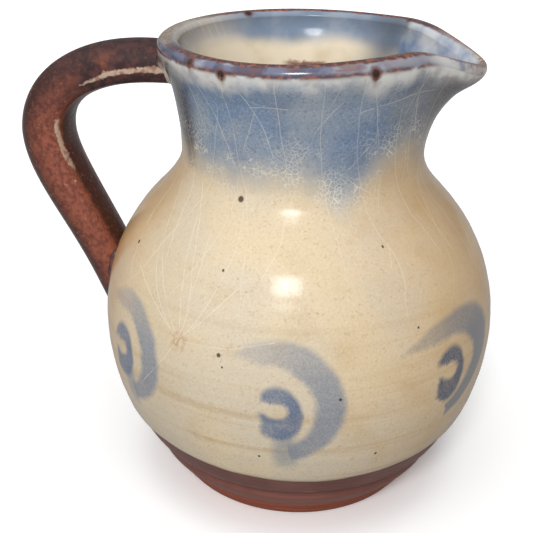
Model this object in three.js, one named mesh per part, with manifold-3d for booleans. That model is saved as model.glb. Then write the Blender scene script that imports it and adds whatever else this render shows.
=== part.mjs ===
// A hand-thrown ceramic jug. A round-bellied clay body with a pulled pouring lip carries a pulled
// strap handle, which is stuck on with wet clay slip at an upper and a lower join, and one coat of
// glaze covers the body inside and out down to a line above the bare clay foot.
// Millimetres, +Z up. The origin is the centre of the flat base, and the lip points along +X.
import * as THREE from "three";
import { mergeVertices } from "three/addons/utils/BufferGeometryUtils.js";
import Module from "manifold-3d";

const wasm = await Module();
wasm.setup();

// Foot of the clay body: a flat base, a bevelled band and a turned cove above it
const BASE_RADIUS = 41;
const BASE_ROUNDING = 1.2;
const BEVEL_HEIGHT = 7.4;
const BEVEL_RADIUS = 46;
const COVE_HEIGHT = 8;
const COVE_DEPTH = 0.7;

// Belly of the clay body: two half ovals that share the widest ring
const BELLY_RADIUS = 64.2;
const BELLY_HEIGHT = 57;
const LOWER_OVAL = 69;
const UPPER_OVAL = 61;

// Neck and rim of the clay body: the shoulder is where the belly is one step wider than the waist
const WAIST_RADIUS = 37.8;
const WAIST_RISE = 16.5;
const SHOULDER_STEP = 9.7;
const WAIST_SWEEP_BELOW = 6.5;
const WAIST_SWEEP_ABOVE = 8;
const RIM_RADIUS = 44.7;
const RIM_HEIGHT = 148.8;
const RIM_FLARE = 12;
const RIM_FLARE_ANGLE = 20;
const BEAD_HEIGHT = 3.6;
const BEAD_START_ANGLE = -50;

// Wall and floor
const WALL = 5;
const FLOOR = 7;
const FLOOR_SWEEP = 12;
const FLOOR_FLAT_RADIUS = 22;

// Pouring lip: how far the rim is pulled out and down, and how much of the neck follows
const LIP_PULL = 11.2;
const LIP_DROP = 5.8;
const LIP_HALF_ANGLE = 39;
const LIP_THINNING = 1.4;
const RIM_SWAY = 1.2;
const RIM_SWAY_ANGLE = -59;
const RIM_SWAY_SPREAD = 33;
const PINCH_RISE = 0.8;
const PINCH_DRAW = 0.9;
const PINCH_ANGLE = 35;
const PINCH_SPREAD = 28;

// Handle: a D-shaped strap that springs level from the neck, rounds over and falls to the belly
const UPPER_JOIN_DROP = 10.8;
const LOWER_JOIN_HEIGHT = 64;
const HANDLE_WIDTH = 19;
const HANDLE_TOP_THICKNESS = 13.4;
const HANDLE_BEND_THICKNESS = 16.4;
const HANDLE_LOW_THICKNESS = 13.6;
const HANDLE_DOME_SHARE = 0.6;
const HANDLE_SQUARENESS = 2.4;
const FINGER_GAP = 41.6;
const HANDLE_BEND_DROP = 26;
const HANDLE_CREST_RUN = 27;
const HANDLE_BEND_RISE = 14.3;
const HANDLE_BEND_FALL = 13;
const HANDLE_FALL_ANGLE = 30;
const HANDLE_FALL_RUN = 20;
const UPPER_ROOT_DEPTH = 3;
const LOWER_ROOT_DEPTH = 30;

// Slip joins and glaze
const SLIP = 0.8;
const SLIP_SQUEEZE = 0.9;
const GLAZE = 0.5;
const GLAZE_LINE = 26.5;
const FIT = 0.3;

// Facets
const TURNS = 44;
const TURN_CROWDING = 0.35;
const HANDLE_STEPS = 30;
const HANDLE_SIDES = 18;

const EPSILON = 1e-4;
const radians = THREE.MathUtils.degToRad;
const point = (radius, height) => new THREE.Vector2(radius, height);

// A closed triangle mesh as a solid that can be joined and cut
function solidOf(geometry) {
  const bare = geometry.clone();
  bare.deleteAttribute("normal");
  bare.deleteAttribute("uv");
  const merged = mergeVertices(bare, EPSILON);
  const corners = merged.index.array;
  const kept = [];
  for (let i = 0; i < corners.length; i += 3) {
    const [a, b, c] = corners.slice(i, i + 3);
    if (a !== b && b !== c && a !== c) kept.push(a, b, c);
  }
  return new wasm.Manifold(
    new wasm.Mesh({
      numProp: 3,
      vertProperties: merged.attributes.position.array,
      triVerts: new Uint32Array(kept),
    }),
  );
}

function geometryOf(solid) {
  const mesh = solid.getMesh();
  return new THREE.BufferGeometry()
    .setAttribute("position", new THREE.BufferAttribute(mesh.vertProperties, 3))
    .setIndex(new THREE.BufferAttribute(mesh.triVerts, 1));
}

// A path moved sideways: to the right of the way it runs, which is out of the clay
function offset(path, distance) {
  return path.map((p, i) => {
    const before = path[Math.max(i - 1, 0)];
    const after = path[Math.min(i + 1, path.length - 1)];
    const along = after.clone().sub(before).normalize();
    return point(p.x + along.y * distance, p.y - along.x * distance);
  });
}

// Radius of the belly's oval at a height
function ovalRadius(height) {
  const half = height < BELLY_HEIGHT ? LOWER_OVAL : UPPER_OVAL;
  return BELLY_RADIUS * Math.sqrt(1 - ((height - BELLY_HEIGHT) / half) ** 2);
}

// Belly between two heights, as points on the oval that the parts of it share
function bellyCurve(from, to, pieces) {
  const half = from < BELLY_HEIGHT ? LOWER_OVAL : UPPER_OVAL;
  const start = Math.asin((from - BELLY_HEIGHT) / half);
  const end = Math.asin((to - BELLY_HEIGHT) / half);
  return new THREE.EllipseCurve(0, BELLY_HEIGHT, BELLY_RADIUS, half, start, end).getPoints(pieces);
}

// Heights that follow from the sizes
const ridgeHeight = BEVEL_HEIGHT + COVE_HEIGHT;
const shoulderShare = (WAIST_RADIUS + SHOULDER_STEP) / BELLY_RADIUS;
const shoulderHeight = BELLY_HEIGHT + UPPER_OVAL * Math.sqrt(1 - shoulderShare ** 2);
const waistHeight = shoulderHeight + WAIST_RISE;
const upperJoinHeight = RIM_HEIGHT - UPPER_JOIN_DROP;
const bendHeight = upperJoinHeight - HANDLE_BEND_DROP;

// Foot, from the centre of the base to the top of the cove
function footPath() {
  const bevelTop = point(BEVEL_RADIUS, BEVEL_HEIGHT);
  const ridge = point(ovalRadius(ridgeHeight), ridgeHeight);
  const edge = point(BASE_RADIUS, 0);
  const up = bevelTop.clone().sub(edge).normalize().multiplyScalar(BASE_ROUNDING);
  const rounding = new THREE.QuadraticBezierCurve(
    point(BASE_RADIUS - BASE_ROUNDING, 0),
    edge,
    edge.clone().add(up),
  );
  const middle = bevelTop.clone().lerp(ridge, 0.5);
  const inward = ridge.clone().sub(bevelTop).normalize();
  const hollow = point(middle.x - inward.y * 2 * COVE_DEPTH, middle.y + inward.x * 2 * COVE_DEPTH);
  const cove = new THREE.QuadraticBezierCurve(bevelTop, hollow, ridge);
  return [point(0, 0), ...rounding.getPoints(2), ...cove.getPoints(3)];
}

// Neck, from the shoulder through the waist to the foot of the rim's bead
function neckPath() {
  const shoulder = point(ovalRadius(shoulderHeight), shoulderHeight);
  const rise = shoulderHeight - BELLY_HEIGHT;
  const slope = -((BELLY_RADIUS / UPPER_OVAL) ** 2) * (rise / shoulder.x);
  const shoulderWay = point(slope, 1).normalize().multiplyScalar(WAIST_SWEEP_BELOW);
  const waist = point(WAIST_RADIUS, waistHeight);
  const shoulderCurve = new THREE.CubicBezierCurve(
    shoulder,
    shoulder.clone().add(shoulderWay),
    point(WAIST_RADIUS, waistHeight - WAIST_SWEEP_BELOW),
    waist,
  );
  const bead = beadPath()[0];
  const flare = radians(RIM_FLARE_ANGLE);
  const flareCurve = new THREE.CubicBezierCurve(
    waist,
    point(WAIST_RADIUS, waistHeight + WAIST_SWEEP_ABOVE),
    point(bead.x - RIM_FLARE * Math.sin(flare), bead.y - RIM_FLARE * Math.cos(flare)),
    bead,
  );
  return [...shoulderCurve.getPoints(4).slice(1), ...flareCurve.getPoints(6).slice(1, -1)];
}

// Rounded rim, from the crease under its bead over the crest to the inside of the wall
function beadPath() {
  const half = WALL / 2;
  const middle = point(RIM_RADIUS - half, RIM_HEIGHT - BEAD_HEIGHT / 2);
  const start = radians(BEAD_START_ANGLE);
  return new THREE.EllipseCurve(middle.x, middle.y, half, BEAD_HEIGHT / 2, start, Math.PI).getPoints(6);
}

const belowGlaze = [...footPath(), ...bellyCurve(ridgeHeight, GLAZE_LINE, 2).slice(1, -1)];
const aboveGlaze = [
  ...bellyCurve(GLAZE_LINE, BELLY_HEIGHT, 4),
  ...bellyCurve(BELLY_HEIGHT, shoulderHeight, 5).slice(1),
  ...neckPath(),
];

// Inside of the wall from under the rim down to the middle of the floor
function insidePath() {
  const outside = [...belowGlaze.slice(1), ...aboveGlaze];
  const wall = offset(outside, -WALL).filter((p, i) => i % 2 === 0 && p.y > FLOOR + FLOOR_SWEEP);
  const lowest = wall[0];
  const next = wall[1];
  const lean = (next.x - lowest.x) / (next.y - lowest.y);
  const corner = point(lowest.x - lean * (lowest.y - FLOOR), FLOOR);
  const sweep = new THREE.QuadraticBezierCurve(lowest, corner, point(FLOOR_FLAT_RADIUS, FLOOR));
  return [...wall.reverse(), ...sweep.getPoints(3).slice(1), point(0, FLOOR)];
}

// The glazed part of the wall: up the outside, over the rim and down the inside
const glazedPath = [...aboveGlaze, ...beadPath(), ...insidePath()];

// Radius of the clay's outside at a height between the glaze line and the rim
function clayRadius(height) {
  const above = aboveGlaze.findIndex((p) => p.y >= height);
  const [low, high] = [aboveGlaze[above - 1], aboveGlaze[above]];
  return THREE.MathUtils.mapLinear(height, low.y, high.y, low.x, high.x);
}

// A profile turned about the Z axis, with its facets crowded towards the lip
function turned(profile) {
  const geometry = new THREE.LatheGeometry(profile, TURNS).rotateX(Math.PI / 2);
  return reshape(geometry, (radius, angle, height) => ({
    radius,
    angle: angle - TURN_CROWDING * Math.sin(angle),
    height,
  }));
}

// Moves each vertex, given and returned as radius, angle from +X and height
function reshape(geometry, move) {
  const places = geometry.attributes.position;
  for (let i = 0; i < places.count; i += 1) {
    const [x, y, z] = [places.getX(i), places.getY(i), places.getZ(i)];
    const { radius, angle, height } = move(Math.hypot(x, y), Math.atan2(y, x), z);
    places.setXYZ(i, radius * Math.cos(angle), radius * Math.sin(angle), height);
  }
  return geometry;
}

// A smooth swelling that is 1 at its middle and dies away over its spread
function swell(value, middle, spread) {
  return Math.exp(-(((value - middle) / spread) ** 2));
}

// The potter's pull: one finger draws the rim out and down while two others pinch its sides,
// and the rim rides up a little on the side where the hand steadied it
function pullLip(geometry) {
  const span = RIM_HEIGHT - waistHeight;
  return reshape(geometry, (radius, angle, height) => {
    const climb = Math.max(0, (height - waistHeight) / span);
    const turn = Math.min(1, Math.abs(angle) / radians(LIP_HALF_ANGLE));
    const beak = ((1 + Math.cos(Math.PI * turn)) / 2) ** 2;
    const degrees = THREE.MathUtils.radToDeg(angle);
    const pinch = swell(Math.abs(degrees), PINCH_ANGLE, PINCH_SPREAD) * climb ** 4;
    const sway = RIM_SWAY * swell(degrees, RIM_SWAY_ANGLE, RIM_SWAY_SPREAD) * climb ** 3;
    const inside = (RIM_RADIUS - radius) / WALL;
    const pull = beak * climb ** 2 * (LIP_PULL + LIP_THINNING * inside * climb);
    return {
      radius: climb > 0 ? radius + pull - PINCH_DRAW * pinch : radius,
      angle,
      height: height - LIP_DROP * beak * climb ** 3 + PINCH_RISE * pinch + sway,
    };
  });
}

// Solid of the clay's outside grown by a distance, with no hollow and no lip, to seat the handle on
function envelope(distance) {
  const outside = offset([...belowGlaze, ...aboveGlaze, ...beadPath().slice(0, 4)], distance);
  const closed = [point(0, outside[0].y), ...outside.slice(1), point(0, outside.at(-1).y)];
  return solidOf(turned(closed));
}

// Line of the handle's middle in the XZ plane, from inside the neck to inside the belly
function handleLine() {
  const at = (reach, height) => new THREE.Vector3(-reach, 0, height);
  const neck = clayRadius(upperJoinHeight);
  const bend = WAIST_RADIUS + FINGER_GAP + HANDLE_BEND_THICKNESS * (1 - HANDLE_DOME_SHARE);
  const belly = clayRadius(LOWER_JOIN_HEIGHT);
  const fall = radians(HANDLE_FALL_ANGLE);
  const way = [Math.sin(fall), Math.cos(fall)];
  const line = new THREE.CurvePath();
  line.add(new THREE.LineCurve3(at(neck - UPPER_ROOT_DEPTH, upperJoinHeight), at(neck, upperJoinHeight)));
  line.add(
    new THREE.CubicBezierCurve3(
      at(neck, upperJoinHeight),
      at(neck + HANDLE_CREST_RUN, upperJoinHeight),
      at(bend, bendHeight + HANDLE_BEND_RISE),
      at(bend, bendHeight),
    ),
  );
  line.add(
    new THREE.CubicBezierCurve3(
      at(bend, bendHeight),
      at(bend, bendHeight - HANDLE_BEND_FALL),
      at(belly + way[0] * HANDLE_FALL_RUN, LOWER_JOIN_HEIGHT + way[1] * HANDLE_FALL_RUN),
      at(belly, LOWER_JOIN_HEIGHT),
    ),
  );
  line.add(
    new THREE.LineCurve3(
      at(belly, LOWER_JOIN_HEIGHT),
      at(belly - way[0] * LOWER_ROOT_DEPTH, LOWER_JOIN_HEIGHT - way[1] * LOWER_ROOT_DEPTH),
    ),
  );
  return line;
}

// D-shaped section of the handle: sideways and outwards from its line, domed on the outer side
function handleSection(thickness, grow) {
  const power = 2 / HANDLE_SQUARENESS;
  const bulge = (value) => Math.sign(value) * Math.abs(value) ** power;
  return Array.from({ length: HANDLE_SIDES }, (_, i) => {
    const turn = (2 * Math.PI * i) / HANDLE_SIDES;
    const share = Math.sin(turn) > 0 ? HANDLE_DOME_SHARE : 1 - HANDLE_DOME_SHARE;
    return point(
      (HANDLE_WIDTH / 2 + grow) * bulge(Math.cos(turn)),
      (thickness * share + grow) * bulge(Math.sin(turn)),
    );
  });
}

// Handle as a loft of its section along its line, grown all round by a distance
function handleSweep(grow) {
  const line = handleLine();
  const lengths = line.getCurveLengths();
  const bend = lengths[1] / lengths.at(-1);
  const rings = [];
  for (let step = 0; step <= HANDLE_STEPS; step += 1) {
    const share = step / HANDLE_STEPS;
    const middle = line.getPointAt(share);
    const along = line.getTangentAt(share);
    const outwards = new THREE.Vector3(0, 1, 0).cross(along).normalize();
    const thickness =
      share < bend
        ? THREE.MathUtils.mapLinear(share, 0, bend, HANDLE_TOP_THICKNESS, HANDLE_BEND_THICKNESS)
        : THREE.MathUtils.mapLinear(share, bend, 1, HANDLE_BEND_THICKNESS, HANDLE_LOW_THICKNESS);
    rings.push(
      handleSection(thickness, grow).map(({ x, y }) =>
        middle.clone().addScaledVector(outwards, y).add(new THREE.Vector3(0, x, 0)),
      ),
    );
  }
  return solidOf(loft(rings));
}

// Skin over a row of rings that have as many points each, with a fan across each end
function loft(rings) {
  const sides = rings[0].length;
  const places = rings.flat();
  const faces = [];
  for (let ring = 0; ring + 1 < rings.length; ring += 1) {
    for (let side = 0; side < sides; side += 1) {
      const [a, b] = [ring * sides + side, ring * sides + ((side + 1) % sides)];
      faces.push(a, a + sides, b, b, a + sides, b + sides);
    }
  }
  const last = (rings.length - 1) * sides;
  for (let side = 1; side + 1 < sides; side += 1) {
    faces.push(0, side, side + 1, last, last + side + 1, last + side);
  }
  return new THREE.BufferGeometry().setFromPoints(places).setIndex(faces);
}

// Clay body, grown by a distance where it is glazed
function thrownBody(distance) {
  const glazed = offset(glazedPath, distance);
  glazed.at(-1).x = 0;
  return solidOf(pullLip(turned([...belowGlaze, ...glazed])));
}

// The coat lies on the glazed part of the wall and leaves a window round each end of the handle
function glazeCoat() {
  const face = offset(glazedPath, FIT + GLAZE);
  const depth = offset(glazedPath, -WALL / 4);
  face.at(-1).x = 0;
  depth.at(-1).x = 0;
  const coat = solidOf(pullLip(turned([...depth.reverse(), ...face])));
  const windows = handleSweep(SLIP_SQUEEZE + FIT).subtract(envelope(0));
  return coat.subtract(thrownBody(FIT)).subtract(windows);
}

function handle() {
  return handleSweep(0).subtract(envelope(FIT + SLIP + FIT));
}

// The two layers of slip between the handle's ends and the wall, the upper one first
function slipJoins() {
  const layer = envelope(FIT + SLIP).subtract(envelope(FIT));
  const joins = layer.intersect(handleSweep(SLIP_SQUEEZE)).decompose();
  return joins.sort((a, b) => b.boundingBox().max[2] - a.boundingBox().max[2]);
}

const bareClay = new THREE.MeshStandardMaterial({ color: 0x7a4636, roughness: 0.7, metalness: 0 });
const creamGlaze = new THREE.MeshStandardMaterial({ color: 0xcdb894, roughness: 0.15, metalness: 0 });
const ironGlaze = new THREE.MeshStandardMaterial({ color: 0x6e3a2c, roughness: 0.3, metalness: 0 });
const paleSlip = new THREE.MeshStandardMaterial({ color: 0xc9b9a2, roughness: 0.6, metalness: 0 });

function piece(name, solid, material) {
  const mesh = new THREE.Mesh(geometryOf(solid), material);
  mesh.name = name;
  return mesh;
}

const jug = new THREE.Group();
const [upperJoin, lowerJoin] = slipJoins();
jug.add(piece("thrown_body", thrownBody(0), bareClay));
jug.add(piece("glaze_coat", glazeCoat(), creamGlaze));
jug.add(piece("handle", handle(), ironGlaze));
jug.add(piece("upper_slip_join", upperJoin, paleSlip));
jug.add(piece("lower_slip_join", lowerJoin, paleSlip));

export default jug;
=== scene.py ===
import math

import bpy
import numpy as np
from mathutils import Matrix, Vector


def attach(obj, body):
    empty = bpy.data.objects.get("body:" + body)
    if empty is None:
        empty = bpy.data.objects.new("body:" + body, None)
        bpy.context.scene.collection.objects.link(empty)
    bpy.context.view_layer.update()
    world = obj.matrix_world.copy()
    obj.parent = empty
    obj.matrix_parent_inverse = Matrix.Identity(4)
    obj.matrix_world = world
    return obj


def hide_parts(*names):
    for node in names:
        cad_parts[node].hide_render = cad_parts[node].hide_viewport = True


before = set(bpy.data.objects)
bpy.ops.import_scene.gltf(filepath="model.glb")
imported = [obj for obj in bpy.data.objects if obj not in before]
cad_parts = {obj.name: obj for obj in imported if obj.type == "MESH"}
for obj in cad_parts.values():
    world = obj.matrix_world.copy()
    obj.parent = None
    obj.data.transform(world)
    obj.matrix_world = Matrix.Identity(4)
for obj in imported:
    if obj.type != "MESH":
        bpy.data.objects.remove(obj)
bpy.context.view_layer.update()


# The thrown body: one wall of iron-rich red-brown stoneware, raised on the wheel from a ball of
# clay. Its foot was turned with a bevel, a cove and a ridge once the clay was leather hard, and
# its lip was drawn out by a finger while the rim was still wet.

MM = 0.001  # The jug's sizes are in mm, and places round it in degrees from the lip.
BASE_RADIUS = 41.0
BASE_ROUNDING = 0.6
BEVEL_HEIGHT = 7.4
BEVEL_RADIUS = 46.0
BEVEL_ROUNDING = 0.2
RIDGE_HEIGHT = 17.6
GROOVE_HEIGHT = 15.0
GROOVE_DEPTH = 1.3
GROOVE_SPREAD = 1.7
STEP_HEIGHT = 10.4
STEP_SWELL = 0.5
STEP_SPREAD = 2.6
BELLY_RADIUS = 64.2
BELLY_HEIGHT = 57.0
LOWER_OVAL = 69.0
UPPER_OVAL = 61.0
WAIST_RADIUS = 37.8
WAIST_RISE = 16.5
SHOULDER_STEP = 9.7
WAIST_SWEEP_BELOW = 6.5
WAIST_SWEEP_ABOVE = 8.0
RIM_RADIUS = 44.7
RIM_HEIGHT = 148.8
RIM_FLARE = 12.0
RIM_FLARE_ANGLE = math.radians(20)
BEAD_HALF_WIDTH = 2.5
BEAD_HALF_HEIGHT = 1.8
BEAD_START_ANGLE = math.radians(-50)
WALL = 5.0
WALL_GAIN = 1.6
WALL_GAIN_REACH = 13.0
FLOOR = 7.0
FLOOR_SWEEP = 12.0
FLOOR_FLAT_RADIUS = 22.0
FLOOR_CORNER_SHARE = 0.9
LIP_PULL = 10.6
LIP_DROP = 5.8
LIP_HALF_ANGLE = 39.0
LIP_THINNING = 1.4
LIP_FULLNESS = 0.9
LIP_FAR_RISE = 0.6
LIP_FAR_ANGLE = 33.0
LIP_FAR_SPREAD = 20.0
PINCH_RISE = 0.8
PINCH_DRAW = 0.9
PINCH_ANGLE = 35.0
PINCH_SPREAD = 28.0
RIM_SWAY = 1.2
RIM_SWAY_ANGLE = -59.0
RIM_SWAY_SPREAD = 33.0
FOLD_DEPTH = 1.5
FOLD_ANGLE = 34.0
FOLD_SPREAD = 8.0
TOOLED_FROM = 1.5
TOOLED_TO = 30.0
FINE_TOOL_LINE = 0.05
BROAD_TOOL_LINE = 0.07
INNERMOST_RING = 0.4
CLAY_TURNS = 220
TURN_CROWDING = 0.35

SHOULDER_RADIUS = WAIST_RADIUS + SHOULDER_STEP
SHOULDER_HEIGHT = BELLY_HEIGHT + UPPER_OVAL * math.sqrt(1 - (SHOULDER_RADIUS / BELLY_RADIUS) ** 2)
WAIST_HEIGHT = SHOULDER_HEIGHT + WAIST_RISE


def bezier(count, *points):
    """Points along a Bezier curve, as (radius, height) rows."""
    share = np.linspace(0, 1, count)[:, None]
    degree = len(points) - 1
    return sum(
        math.comb(degree, k) * share**k * (1 - share) ** (degree - k) * np.array(point, float)
        for k, point in enumerate(points)
    )


def belly_radius(height):
    """The oval of the belly, which is longer below its widest point than above it."""
    half = np.where(height < BELLY_HEIGHT, LOWER_OVAL, UPPER_OVAL)
    return BELLY_RADIUS * np.sqrt(1 - ((height - BELLY_HEIGHT) / half) ** 2)


def belly_line(low, high, count):
    heights = np.linspace(low, high, count)
    return np.column_stack([belly_radius(heights), heights])


def neck_line(count):
    """From the shoulder over the waist and the flare to the start of the rim's bead."""
    shoulder = np.array([SHOULDER_RADIUS, SHOULDER_HEIGHT])
    fall = -((BELLY_RADIUS / UPPER_OVAL) ** 2) * (SHOULDER_HEIGHT - BELLY_HEIGHT) / SHOULDER_RADIUS
    along = np.array([fall, 1]) / math.hypot(fall, 1)
    waist = np.array([WAIST_RADIUS, WAIST_HEIGHT])
    bead_start = bead_line(2)[0]
    flare = np.array([math.sin(RIM_FLARE_ANGLE), math.cos(RIM_FLARE_ANGLE)])
    lower = bezier(
        count, shoulder, shoulder + WAIST_SWEEP_BELOW * along, waist - (0, WAIST_SWEEP_BELOW), waist
    )
    upper = bezier(
        count, waist, waist + (0, WAIST_SWEEP_ABOVE), bead_start - RIM_FLARE * flare, bead_start
    )
    return np.vstack([lower, upper[1:]])


def bead_line(count):
    """The rounded rim, from under its outer edge over the crest to its inner edge."""
    angle = np.linspace(BEAD_START_ANGLE, math.pi, count)
    centre = RIM_RADIUS - BEAD_HALF_WIDTH, RIM_HEIGHT - BEAD_HALF_HEIGHT
    return np.column_stack(
        [centre[0] + BEAD_HALF_WIDTH * np.cos(angle), centre[1] + BEAD_HALF_HEIGHT * np.sin(angle)]
    )


def inside_line(outside, count):
    """The inner face: the wall's thickness in from the outside, thinner at the rim, and a flat floor."""
    facing = normals(outside)
    wall = WALL + WALL_GAIN * (1 - swell(outside[:, 1:], RIM_HEIGHT, WALL_GAIN_REACH))
    inner = outside - wall * facing
    inner = inner[(inner[:, 1] > FLOOR + FLOOR_SWEEP) & (inner[:, 1] < RIM_HEIGHT - WALL)]
    corner = (inner[0][0] * FLOOR_CORNER_SHARE, FLOOR)
    sweep = bezier(count, inner[0], corner, (FLOOR_FLAT_RADIUS, FLOOR), (INNERMOST_RING, FLOOR))
    return np.vstack([inner[::-1], sweep[1:]])


def normals(line):
    """Unit normals of a line that rises with the clay on its left."""
    along = np.gradient(line, axis=0)
    along /= np.linalg.norm(along, axis=1)[:, None]
    return np.column_stack([along[:, 1], -along[:, 0]])


def swell(value, middle, spread):
    """A smooth swelling that is 1 at its middle and dies away over its spread."""
    return np.exp(-(((value - middle) / spread) ** 2))


def pull_lip(radius, height, angle):
    """Draws the rim out to the pouring lip and pinches it beside the lip, with a fold inside."""
    around = np.degrees(angle)
    beside = np.abs(around)
    climb = np.clip((height - WAIST_HEIGHT) / (RIM_HEIGHT - WAIST_HEIGHT), 0, None)
    beak = ((1 + np.cos(math.pi * np.minimum(1, beside / LIP_HALF_ANGLE))) / 2) ** 2
    pinch = swell(beside, PINCH_ANGLE, PINCH_SPREAD) * climb**4
    sway = RIM_SWAY * swell(around, RIM_SWAY_ANGLE, RIM_SWAY_SPREAD) * climb**3
    sway = sway + LIP_FAR_RISE * swell(around, LIP_FAR_ANGLE, LIP_FAR_SPREAD) * climb**3
    inward = (RIM_RADIUS - radius) / WALL
    fold = FOLD_DEPTH * swell(beside, FOLD_ANGLE, FOLD_SPREAD) * climb**2 * np.clip(inward, 0, 1)
    pull = beak * climb**2 * (LIP_PULL + LIP_THINNING * inward * climb)
    full = LIP_FULLNESS * beak * climb**6 * (RIM_HEIGHT - height)
    return (
        radius + pull - PINCH_DRAW * pinch - fold,
        height - LIP_DROP * beak * climb**3 - full + PINCH_RISE * pinch + sway,
    )


def make_piece(name, points, faces, marks):
    """A smooth mesh from points in mm. Marks are measures kept at each point for its finish."""
    mesh = bpy.data.meshes.new(name)
    mesh.from_pydata((points * MM).tolist(), [], faces)
    for mark, values in marks.items():
        kept = mesh.attributes.new(mark, "FLOAT", "POINT")
        kept.data.foreach_set("value", np.asarray(values, dtype=np.float32).ravel())
    mesh.polygons.foreach_set("use_smooth", [True] * len(mesh.polygons))
    piece = bpy.data.objects.new(name, mesh)
    bpy.context.scene.collection.objects.link(piece)
    return piece


def rings_to_faces(rings, turns):
    """Quads between closed rings of points, with a fan of triangles to a point at each end."""
    first = np.arange(rings - 1)[:, None] * turns
    here = np.arange(turns)
    beside = (here + 1) % turns
    quads = np.stack(
        [first + here, first + beside, first + turns + beside, first + turns + here], axis=-1
    )
    faces = quads.reshape(-1, 4).tolist()
    last = (rings - 1) * turns
    faces += np.column_stack([beside, here, np.full(turns, rings * turns)]).tolist()
    faces += np.column_stack([last + here, last + beside, np.full(turns, rings * turns + 1)]).tolist()
    return faces


def with_ends(values):
    """A measure at every point of a piece's rings, with the mean of each end ring for its end point."""
    return np.concatenate([values.ravel(), [values[0].mean(), values[-1].mean()]])


def turn_on_wheel(name, radius, height, angle, marks):
    """A closed piece from rows of radius and height round the axis, ending at the axis."""
    rows, turns = radius.shape
    rings = np.stack([radius * np.cos(angle), radius * np.sin(angle), height], axis=-1)
    ends = [(0, 0, height[0].mean()), (0, 0, height[-1].mean())]
    points = np.vstack([rings.reshape(-1, 3), ends])
    closed = {mark: with_ends(values) for mark, values in marks.items()}
    return make_piece(name, points, rings_to_faces(rows, turns), closed)


def wheel_angles(turns):
    """Angles round the axis from the lip, closer together at the lip."""
    even = np.linspace(-math.pi, math.pi, turns, endpoint=False)
    return even - TURN_CROWDING * np.sin(even)


base_in = bezier(8, (INNERMOST_RING, 0), (BASE_RADIUS - BASE_ROUNDING, 0))
base_edge = bezier(
    7,
    (BASE_RADIUS - BASE_ROUNDING, 0),
    (BASE_RADIUS, 0),
    (BASE_RADIUS + 0.55 * BASE_ROUNDING, 0.95 * BASE_ROUNDING),
)
bevel = bezier(16, base_edge[-1], (BEVEL_RADIUS - BEVEL_ROUNDING, BEVEL_HEIGHT - 2 * BEVEL_ROUNDING))
ridge_edge = (float(belly_radius(np.array(RIDGE_HEIGHT))), RIDGE_HEIGHT)
cove = bezier(40, (BEVEL_RADIUS, BEVEL_HEIGHT), ridge_edge)
cove[:, 0] -= GROOVE_DEPTH * swell(cove[:, 1], GROOVE_HEIGHT, GROOVE_SPREAD)
cove[:, 0] += STEP_SWELL * swell(cove[:, 1], STEP_HEIGHT, STEP_SPREAD)
clay_outside = np.vstack([belly_line(RIDGE_HEIGHT, SHOULDER_HEIGHT, 90), neck_line(24)[1:]])
clay_line = np.vstack(
    [base_in, base_edge[1:], bevel[1:], cove, clay_outside[1:], bead_line(16)[1:],
     inside_line(clay_outside, 24)]
)
clay_angle = wheel_angles(CLAY_TURNS)[None, :]
clay_radius = clay_line[:, :1] + np.zeros_like(clay_angle)
clay_height = clay_line[:, 1:] + np.zeros_like(clay_angle)
tooled = (clay_height > TOOLED_FROM) & (clay_height < TOOLED_TO) & (clay_radius > BASE_RADIUS)
fine_lines = FINE_TOOL_LINE * np.sin(clay_height * 5.2 + clay_angle)
broad_lines = BROAD_TOOL_LINE * np.sin(clay_height * 1.9 + 2 * clay_angle)
clay_radius = clay_radius + tooled * (fine_lines + broad_lines)
clay_radius, clay_height = pull_lip(clay_radius, clay_height, clay_angle)
body = turn_on_wheel("thrown_body_clay", clay_radius, clay_height, clay_angle, {})


class Finish:
    """A number, colour or direction that varies over a surface: one output of a shader node."""

    def __init__(self, tree, socket=None):
        self.tree = tree
        self.socket = socket

    def node(self, kind, settings, sockets, output=0):
        """One output of a new node, whose settings are made first and then its sockets."""
        made = self.tree.nodes.new("ShaderNode" + kind)
        for name, setting in settings.items():
            setattr(made, name, setting)
        for name, value in sockets.items():
            if isinstance(value, Finish):
                self.tree.links.new(value.socket, made.inputs[name])
            else:
                made.inputs[name].default_value = value
        return Finish(self.tree, made.outputs[output] if made.outputs else None)

    def output(self, name):
        return Finish(self.tree, self.socket.node.outputs[name])

    def maths(self, operation, *others):
        return self.node("Math", {"operation": operation}, dict(enumerate((self,) + others)))

    def __add__(self, other):
        return self.maths("ADD", other)

    def __sub__(self, other):
        return self.maths("SUBTRACT", other)

    def __rsub__(self, other):
        return self.node("Math", {"operation": "SUBTRACT"}, {0: other, 1: self})

    def __mul__(self, other):
        return self.maths("MULTIPLY", other)

    def __truediv__(self, other):
        return self.maths("DIVIDE", other)

    __radd__ = __add__
    __rmul__ = __mul__


def tone(red, green, blue):
    """A colour as it is seen, from 0 to 255, in the linear values that a shader takes."""
    seen = np.array([red, green, blue]) / 255
    linear = np.where(seen < 0.04045, seen / 12.92, ((seen + 0.055) / 1.055) ** 2.4)
    return (*linear.tolist(), 1.0)


def start_finish(name):
    """A new material, and the surface that its nodes start from."""
    material = bpy.data.materials.new(name)
    material.use_nodes = True
    material.node_tree.nodes.clear()
    return material, Finish(material.node_tree)


def fire(piece, material, surface, **sockets):
    """Closes the finish with its shader and puts it on the piece."""
    named = {name.replace("_", " "): value for name, value in sockets.items()}
    shader = surface.node("BsdfPrincipled", {}, named)
    surface.node("OutputMaterial", {}, {"Surface": shader})
    piece.data.materials.append(material)


def stretch(vector, times):
    return vector.node("VectorMath", {"operation": "MULTIPLY"}, {0: vector, 1: times})


def noise(vector, scale, detail=2.0):
    """Cloudy variation about 0.5, with scale lumps in each metre."""
    return vector.node("TexNoise", {}, {"Vector": vector, "Scale": scale, "Detail": detail}, "Fac")


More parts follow.
